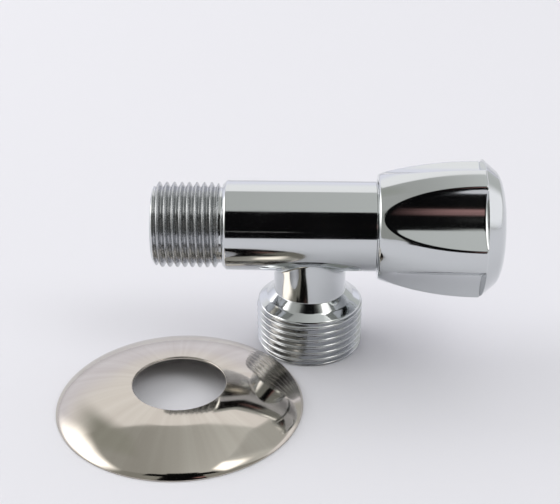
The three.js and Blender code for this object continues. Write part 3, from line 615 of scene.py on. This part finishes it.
# Cap in the front of the handle: a shallow crown with a rounded edge and a hollow back
capShape = {"columns": 96, "radius": 5.7, "crown": 0.22, "edgeRound": 0.4, "rimWidth": 0.9, "wall": 0.85}


def makeCap():
    c = capShape
    backX, faceX = capBox[:, 0] - outletX
    r = np.linspace(0, c["radius"] - 0.6, 12)
    crown = np.column_stack([faceX - c["crown"] * (r / c["radius"]) ** 2, r])
    hollow, innerX = c["radius"] - c["rimWidth"], faceX - c["wall"]
    rest = roundCorners([
        tuple(crown[-1]), (faceX - c["crown"], c["radius"], c["edgeRound"]), (backX, c["radius"], 0.15),
        (backX, hollow, 0.1), (innerX, hollow, 0.2), (innerX, 0),
    ], steps=6)
    points, faces = lathe(np.vstack([crown, rest[1:]]), c["columns"], "X")
    piece = newPiece("indexCapPlated", points, faces, "handle", [chrome])
    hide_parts("index_cap")


makeCap()

# Wall flange

dome = {
    "columns": 256, "rows": 70, "radius": 28.93, "hole": 10.83, "height": 7.0, "wall": 0.7, "power": 1.25,
    "footBand": 0.3, "holeBand": 0.35, "flatRadius": 16.4, "flatDrop": 0.29, "flatBend": 0.245,
}


# The dome's height is a power of the sine of an angle while its radius falls with the cosine of that angle,
# and near the hole it is flattened, first by the square of the way in and then more evenly; the inside is the
# same curve one wall smaller, and the edges at the hole and at the foot are rounded
def makeFlange():
    d = dome

    def domeCurve(radius, height, rows):
        last = math.acos(d["hole"] / radius)
        angle = last * np.linspace(0, 1, rows) ** 1.3
        out = radius * np.cos(angle)
        nearHole = np.clip((d["flatRadius"] - out) / (d["flatRadius"] - d["hole"]), 0, None)
        drop = (d["flatDrop"] + d["flatBend"] * (1 - nearHole)) * nearHole ** 2
        return np.column_stack([height * np.sin(angle) ** d["power"] - drop, out])

    outside = domeCurve(d["radius"], d["height"], d["rows"])
    inside = domeCurve(d["radius"] - d["wall"], d["height"] - d["wall"], d["rows"] // 2)[::-1]
    topZ, lowZ = outside[-1, 0], inside[0, 0]

    # The curve without its ends, which the rounded edges replace
    def between(curve):
        return map(tuple, curve[(curve[:, 1] > d["hole"] + d["holeBand"]) & (curve[:, 0] > d["footBand"])])

    outline = roundCorners([
        *between(outside), (topZ, d["hole"], 0.22), (lowZ, d["hole"], 0.15), *between(inside),
        (0, d["radius"] - d["wall"], 0.12), (0, d["radius"], 0.12),
    ], steps=5, support=0.05)
    points, faces = lathe(outline, d["columns"], "Z")
    piece = newPiece("wallFlangePolished", points, faces, "escutcheon", [stainless],
                     origin=flangeOrigin)
    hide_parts("escutcheon")


makeFlange()

# The working parts inside keep their solids and get their materials
insideParts = {
    brass: ["cartridge_housing", "spindle", "stop_ring"],
    zincSteel: ["circlip", "spring_washer", "handle_screw"],
    alumina: ["fixed_disc", "moving_disc"],
    rubber: ["seat_seal", "spindle_oring_inner", "spindle_oring_outer", "collar_washer"],
    acetal: ["seal_support_ring", "thrust_washer", "spline_bush"],
}
for material, nodes in insideParts.items():
    for node in nodes:
        mesh = frame["nodes"][node].data
        mesh.materials.clear()
        mesh.materials.append(material)
print("inside parts finished")

# Studio: a white tent with a dark opening where the camera looks in, and a pale sweep underneath

studio = {
    "floorColour": "#e4e3e9", "floorReach": 4000, "openingY": -307, "openingHalf": 104, "openingTop": 62,
    "barLow": 45, "barHigh": 58, "barHalf": 215, "stripElevation": 10.6, "stripWidth": 2.2, "stripEnd": -6,
    "stripFade": 5, "stripBreaks": 18, "stripColour": "#f0ece8", "warmLow": 19, "warmHigh": 34,
    "warmStart": 48, "warmLayers": 24, "warmColour": "#b98f8c", "dark": "#0a0a0b", "fibreSize": 1.5,
    # How far the warm board's edges fade outwards and inwards
    "warmFade": (10, 35), "warmSideFade": (14, 26),
}


# A flat face of the studio; unless it is the floor, only reflections show it
def flatPanel(name, corners, material, isFloor=False):
    mesh = bpy.data.meshes.new(name)
    mesh.from_pydata((np.array(corners, float) * mm).tolist(), [], [tuple(range(len(corners)))])
    mesh.materials.append(material)
    panel = bpy.data.objects.new(name, mesh)
    bpy.context.scene.collection.objects.link(panel)
    if not isFloor:
        panel.visible_camera = panel.visible_diffuse = False
        panel.visible_shadow = panel.visible_transmission = False
    return panel


# Seamless background paper: pale, matt and a little fibrous
values = {"Base Color": linearColour(studio["floorColour"]), "Roughness": 0.9, "Specular IOR Level": 0.2}
paper, tree, shader, place = startMaterial("backgroundPaper", values)
setRelief(tree, shader, noise(tree, place, studio["fibreSize"], 3.0).outputs[0], 0.01)
reach = studio["floorReach"]
corners = [(x * reach, y * reach, 0) for x, y in ((-1, -1), (1, -1), (1, 1), (-1, 1))]
flatPanel("sweep", corners, paper, isFloor=True)

# The opening is nearly black. A thin bright line, where the tent's flap lets light through, crosses its left
# half, and on the right a warm board stands behind it. A dark boom, wider than the opening, hangs across its
# upper part
values = {"Base Color": (0, 0, 0, 1), "Roughness": 1.0, "Specular IOR Level": 0.0, "Emission Strength": 1.0}
opening, tree, shader, place = startMaterial("darkOpening", values)
parts = addNode(tree, "SeparateXYZ", links={"Vector": place}).outputs


def openingZ(elevation):
    return axisZ - studio["openingY"] * math.tan(math.radians(elevation))


# A share that grows smoothly from 0 to 1 while a number goes from one value to another
def growing(tree, number, start, end):
    return addNode(tree, "MapRange", settings={"interpolation_type": "SMOOTHSTEP"},
                   values={"From Min": start, "From Max": end}, links={"Value": number}).outputs[0]


# The product of such shares and of any others; each limit is an axis with its start and end in the unit
def product(tree, axes, limits, unit, *others):
    shares = [growing(tree, axes[axis], start * unit, end * unit) for axis, start, end in limits]
    result = shares[0]
    for share in (*shares[1:], *others):
        result = addNode(tree, "Math", settings={"operation": "MULTIPLY"},
                         links={0: result, 1: share}).outputs[0]
    return result


stripZ, stripX = openingZ(studio["stripElevation"]), outletX + studio["stripEnd"]
breaks = noise(tree, place, studio["stripBreaks"], 2.0)
broken = addNode(tree, "MapRange", values={"From Min": 0.42, "From Max": 0.55},
                 links={"Value": breaks.outputs[0]})
limits = [("Z", stripZ - studio["stripWidth"], stripZ), ("Z", stripZ + studio["stripWidth"], stripZ),
          ("X", stripX, stripX - studio["stripFade"])]
strip = product(tree, parts, limits, mm, broken.outputs[0])
stretched = addNode(tree, "Mapping", values={"Scale": (0.1, 0.1, 1)}, links={"Vector": place})
sheets = noise(tree, stretched.outputs[0], studio["warmLayers"], 2.0)
layers = addNode(tree, "MapRange", values={"From Min": 0.36, "From Max": 0.6},
                 links={"Value": sheets.outputs[0]})
warmLow, warmHigh = openingZ(studio["warmLow"]), openingZ(studio["warmHigh"])
warmX = outletX + studio["warmStart"]
(outer, inner), (outerX, innerX) = studio["warmFade"], studio["warmSideFade"]
limits = [("Z", warmLow - outer, warmLow + inner), ("Z", warmHigh + outer, warmHigh - inner),
          ("X", warmX - outerX, warmX + innerX)]
warm = product(tree, parts, limits, mm, layers.outputs[0])
board = mixed(tree, warm, studio["dark"], studio["warmColour"])
tree.links.new(mixed(tree, strip, board, studio["stripColour"]), shader.inputs["Emission Color"])
openingY = axisY + studio["openingY"]
boomY = openingY - 1  # just behind the opening
topZ, barLowZ, barHighZ = (openingZ(studio[key]) for key in ("openingTop", "barLow", "barHigh"))
for name, half, y, low, high in (("cameraOpening", studio["openingHalf"], openingY, 0.5, topZ),
                                 ("boomOpening", studio["barHalf"], boomY, barLowZ, barHighZ)):
    corners = [(outletX + side * half, y, z) for side, z in ((-1, low), (1, low), (1, high), (-1, high))]
    flatPanel(name, corners, opening)

# The tent itself is the world: a bright wall behind the valve, dimmer at its foot and lilac low down, a
# greyer cloth overhead that hangs down at both sides, darker on the left, and a dim front where it is open
tent = {
    "strength": 1.35, "foot": "#c2c2ca", "lowWall": "#dedee8", "highWall": "#edecec",
    "leftCloth": "#a1a29f", "rightCloth": "#c4c6c4", "front": "#8f908c",
    # Edges of the cloth overhead, as slopes from straight up
    "farEdge": 0.649, "nearEdge": 0.532, "edgeBlur": 0.025,
    # Where colours change: in the wall by the height of the direction, in the cloth by its slope sideways
    "footEnds": (-0.02, 0.18), "lowWallEnds": (0.25, 0.6), "leftClothEnds": (-0.35, 0.4),
}
world = bpy.data.worlds.new("whiteTent")
bpy.context.scene.world = world
world.use_nodes = True
tree = world.node_tree
tree.nodes.clear()
direction = addNode(tree, "TexCoord").outputs["Generated"]
toward = addNode(tree, "SeparateXYZ", links={"Vector": direction}).outputs
upward = addNode(tree, "Math", settings={"operation": "MAXIMUM"}, values={1: 0.001}, links={0: toward["Z"]})
backward, sideways = (addNode(tree, "Math", settings={"operation": "DIVIDE"},
                              links={0: toward[axis], 1: upward.outputs[0]}).outputs[0] for axis in "YX")


# A colour that goes smoothly from one to another while a number goes from one value to another
def blended(tree, number, start, end, first, second):
    return mixed(tree, growing(tree, number, start, end), first, second)


blur = tent["edgeBlur"]
wall = blended(tree, toward["Z"], *tent["lowWallEnds"], tent["lowWall"], tent["highWall"])
wall = blended(tree, toward["Z"], *tent["footEnds"], tent["foot"], wall)
cloth = blended(tree, sideways, *tent["leftClothEnds"], tent["leftCloth"], tent["rightCloth"])
cloth = blended(tree, backward, -tent["nearEdge"] + blur, -tent["nearEdge"] - blur, cloth, tent["front"])
colour = blended(tree, backward, tent["farEdge"] - blur, tent["farEdge"] + blur, cloth, wall)
background = addNode(tree, "Background", values={"Strength": tent["strength"]}, links={"Color": colour})
addNode(tree, "OutputWorld", links={"Surface": background.outputs[0]})

# Two soft boxes, behind the valve on the left and before it on the right, and a weak light overhead; they
# light the paper. Bearing is from the camera's side towards +X; it and elevation are those of the middle
lampDistance = 1500
lamps = {
    "leftLamp": {"bearing": -113, "elevation": 32, "width": 1330, "height": 930, "light": 2.2},
    "rightLamp": {"bearing": 68, "elevation": 51, "width": 550, "height": 870, "light": 2.0},
    "topLamp": {"bearing": 180, "elevation": 80, "width": 2600, "height": 2600, "light": 0.3},
}
for name, box in lamps.items():
    bearing, elevation = math.radians(box["bearing"]), math.radians(box["elevation"])
    outward = Vector((math.sin(bearing) * math.cos(elevation), -math.cos(bearing) * math.cos(elevation),
                      math.sin(elevation)))
    lamp = bpy.data.lights.new(name, "AREA")
    lamp.shape = "RECTANGLE"
    lamp.size, lamp.size_y = box["width"] * mm, box["height"] * mm
    lamp.energy = box["light"] * math.pi * lamp.size * lamp.size_y
    holder = bpy.data.objects.new(name, lamp)
    holder.matrix_world = (Matrix.Translation(Vector(valveOrigin.tolist()) * mm + outward * lampDistance * mm)
                           @ outward.to_track_quat("Z", "Y").to_matrix().to_4x4())
    holder.visible_camera = holder.visible_glossy = False
    bpy.context.scene.collection.objects.link(holder)

# What the metal shows of the boxes are their cloths, and beside them hang grey cloths and stands a low white
# board: each is upright at one side of the valve, from one place to another along Y and in height, and fades
# out over a share of its size at its edges
cloths = {
    "leftBox": {"x": -900, "back": (-720, 800), "height": (-90, 1130), "fade": 0.36,
                "colour": "#fffdfb", "glow": 3.3},
    "rightBox": {"x": 900, "back": (-1000, -10), "height": (780, 2900), "fade": 0.3,
                 "colour": "#fffcf8", "glow": 2.8},
    "lowBoard": {"x": 880, "back": (-250, 700), "height": (-60, 480), "fade": 0.3,
                 "colour": "#fdfcff", "glow": 1.18},
    "leftFlag": {"x": -920, "back": (90, 1400), "height": (450, 2900), "fade": 0.35,
                 "colour": "#9a9c96", "glow": 1.3},
    "rightFlag": {"x": 920, "back": (0, 1450), "height": (-500, 2700), "fade": 0.15,
                  "colour": "#b4b6b4", "glow": 1.3},
}
for name, c in cloths.items():
    values = {"Base Color": (0, 0, 0, 1), "Roughness": 1.0, "Specular IOR Level": 0.0,
              "Emission Color": linearColour(c["colour"]), "Emission Strength": c["glow"]}
    cloth, tree, shader, place = startMaterial(name + "Cloth", values)
    across = addNode(tree, "SeparateXYZ", links={"Vector": place.node.outputs["UV"]}).outputs
    limits = [(axis, *ends) for axis in "XY" for ends in ((0, c["fade"]), (1, 1 - c["fade"]))]
    tree.links.new(product(tree, across, limits, 1), shader.inputs["Alpha"])
    sides = np.array([(0, 0), (1, 0), (1, 1), (0, 1)])
    corners = [(outletX + c["x"], axisY + c["back"][i], axisZ + c["height"][k]) for i, k in sides]
    layer = flatPanel(name, corners, cloth).data.uv_layers.new(name="share")
    layer.data.foreach_set("uv", sides.astype(np.float32).reshape(-1))
print("studio set up")

# Camera: its place from the outlet's foot, and its axes, as found from the valve's own measures
view = {
    "place": (0.64, -277.15, 175.7), "right": (0.9996, 0.0275, -0.0023),
    "forward": (-0.0253, 0.8783, -0.4775), "lens": 82.9, "sensor": 36.0,
}
forward = Vector(view["forward"]).normalized()
right = Vector(view["right"])
right = (right - forward * right.dot(forward)).normalized()
up = right.cross(forward)
lens = bpy.data.cameras.new("camera")
lens.lens, lens.sensor_width, lens.sensor_fit = view["lens"], view["sensor"], "HORIZONTAL"
lens.clip_start, lens.clip_end = 0.01, 100
camera = bpy.data.objects.new("camera", lens)
axes = Matrix((right, up, -forward)).transposed().to_4x4()
place = Vector((outletX, axisY, 0)) + Vector(view["place"])
camera.matrix_world = Matrix.Translation(place * mm) @ axes
bpy.context.scene.collection.objects.link(camera)
bpy.context.scene.camera = camera

bpy.context.scene.view_settings.view_transform = "Standard"
